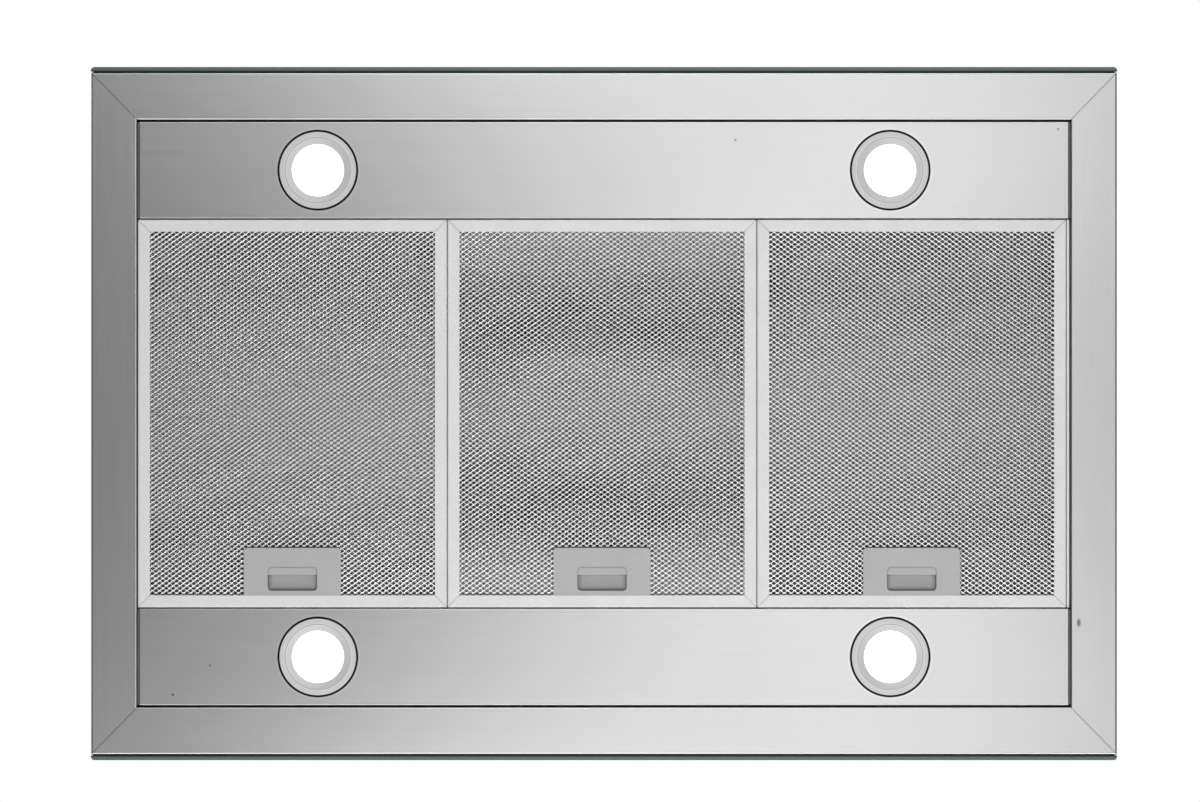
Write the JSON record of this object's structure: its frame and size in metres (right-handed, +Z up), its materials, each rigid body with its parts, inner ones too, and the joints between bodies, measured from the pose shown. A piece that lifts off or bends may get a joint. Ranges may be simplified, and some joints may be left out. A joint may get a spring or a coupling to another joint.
{
  "type": "range hood insert",
  "caption": "Built-in range hood: mitred steel frame with glass fascias, lamps, hinged mesh filters with sliding latches, centrifugal blower and a damped round duct collar.",
  "frame": {"origin": "centre of the open underside, at the level of the frame's visible face", "axes": "+Z up as the hood hangs; +X to the user's right along the long side; -Y towards the user"},
  "size_m": [0.898, 0.6066, 0.367],
  "materials": {
    "steel_frame": "brushed along each member",
    "steel_panel": "brushed along X",
    "fascia_glass": "polished, back-painted",
    "bonding_tape": "matte",
    "circuit_board": "satin",
    "lamp_bezel": "satin",
    "lamp_lens": "frosted, lit",
    "lamp_gasket": "matte",
    "heat_sink": "satin",
    "spring_steel": "bright",
    "galvanised_steel": "galvanised",
    "pan_steel": "galvanised",
    "housing_steel": "galvanised",
    "filter_aluminium": "matte, etched",
    "mesh_aluminium": "bright strands",
    "mesh_layers": "layered mesh",
    "rod_steel": "bright drawn",
    "latch_plate": "satin",
    "latch_slide": "satin",
    "impeller": "moulded",
    "motor_can": "black lacquer",
    "duct_plastic": "moulded",
    "flap_plastic": "moulded",
    "control_plastic": "moulded",
    "gland_plastic": "moulded",
    "driver_plastic": "moulded",
    "screw_steel": "zinc plated"
  },
  "bodies": {
    "hood": {"frame_front": "steel_frame", "frame_rear": "steel_frame", "frame_left": "steel_frame", "frame_right": "steel_frame", "light_panel_front": "steel_panel", "light_panel_rear": "steel_panel", "glass_front": "fascia_glass", "glass_rear": "fascia_glass", "bonding_tapes": "bonding_tape", "touch_board": "circuit_board", "lamp_boards": "circuit_board", "lamp_bezels": "lamp_bezel", "lamp_lenses": "lamp_lens", "lamp_gaskets": "lamp_gasket", "lamp_heat_sinks": "heat_sink", "lamp_clips": "spring_steel", "cross_rails": "galvanised_steel", "filter_hooks": "galvanised_steel", "scroll_wrap": "galvanised_steel", "scroll_sides": "galvanised_steel", "motor_bracket": "galvanised_steel", "hanger_brackets": "galvanised_steel", "top_pan": "pan_steel", "housing_front": "housing_steel", "housing_rear": "housing_steel", "housing_sides": "housing_steel", "housing_top": "housing_steel", "side_strip": "filter_aluminium", "motor": "motor_can", "duct_collar": "duct_plastic", "control_box": "control_plastic", "control_box_lid": "control_plastic", "cable_gland": "gland_plastic", "led_driver": "driver_plastic", "screws": "screw_steel"},
    "filter_left": {"filter_frame_left": "filter_aluminium", "face_mesh_left": "mesh_aluminium", "mesh_pack_left": "mesh_layers", "hinge_rod_left": "rod_steel", "latch_plate_left": "latch_plate", "latch_spring_left": "spring_steel"},
    "filter_middle": {"filter_frame_middle": "filter_aluminium", "face_mesh_middle": "mesh_aluminium", "mesh_pack_middle": "mesh_layers", "hinge_rod_middle": "rod_steel", "latch_plate_middle": "latch_plate", "latch_spring_middle": "spring_steel"},
    "filter_right": {"filter_frame_right": "filter_aluminium", "face_mesh_right": "mesh_aluminium", "mesh_pack_right": "mesh_layers", "hinge_rod_right": "rod_steel", "latch_plate_right": "latch_plate", "latch_spring_right": "spring_steel"},
    "latch_left": {"latch_slide_left": "latch_slide"},
    "latch_middle": {"latch_slide_middle": "latch_slide"},
    "latch_right": {"latch_slide_right": "latch_slide"},
    "blower_rotor": {"impeller": "impeller", "motor_shaft": "rod_steel"},
    "damper_left": {"damper_flap_left": "flap_plastic"},
    "damper_right": {"damper_flap_right": "flap_plastic"}
  },
  "joints": [
    {"name": "filter_left_swing", "type": "hinge", "parent": "hood", "child": "filter_left", "pos_m": [-0.2693, 0.1649, 0.0045], "axis": [1, 0, 0], "range_deg": [0, 60]},
    {"name": "filter_middle_swing", "type": "hinge", "parent": "hood", "child": "filter_middle", "pos_m": [0.0017, 0.1649, 0.0045], "axis": [1, 0, 0], "range_deg": [0, 60]},
    {"name": "filter_right_swing", "type": "hinge", "parent": "hood", "child": "filter_right", "pos_m": [0.2727, 0.1649, 0.0045], "axis": [1, 0, 0], "range_deg": [0, 60]},
    {"name": "latch_left_slide", "type": "slide", "parent": "filter_left", "child": "latch_left", "axis": [0, 1, 0], "range_m": [0, 0.005], "stiffness_N_per_m": 300, "springref_m": -0.004, "deforming": ["latch_spring_left"]},
    {"name": "latch_middle_slide", "type": "slide", "parent": "filter_middle", "child": "latch_middle", "axis": [0, 1, 0], "range_m": [0, 0.005], "stiffness_N_per_m": 300, "springref_m": -0.004, "deforming": ["latch_spring_middle"]},
    {"name": "latch_right_slide", "type": "slide", "parent": "filter_right", "child": "latch_right", "axis": [0, 1, 0], "range_m": [0, 0.005], "stiffness_N_per_m": 300, "springref_m": -0.004, "deforming": ["latch_spring_right"]},
    {"name": "blower_spin", "type": "hinge", "parent": "hood", "child": "blower_rotor", "pos_m": [0, -0.016, 0.186], "axis": [1, 0, 0], "continuous": true},
    {"name": "damper_left_open", "type": "hinge", "parent": "hood", "child": "damper_left", "pos_m": [-0.0035, 0.048, 0.32225], "axis": [0, 1, 0], "range_deg": [0, 80]},
    {"name": "damper_right_open", "type": "hinge", "parent": "hood", "child": "damper_right", "pos_m": [0.0035, 0.048, 0.32225], "axis": [0, -1, 0], "range_deg": [0, 80]}
  ]
}
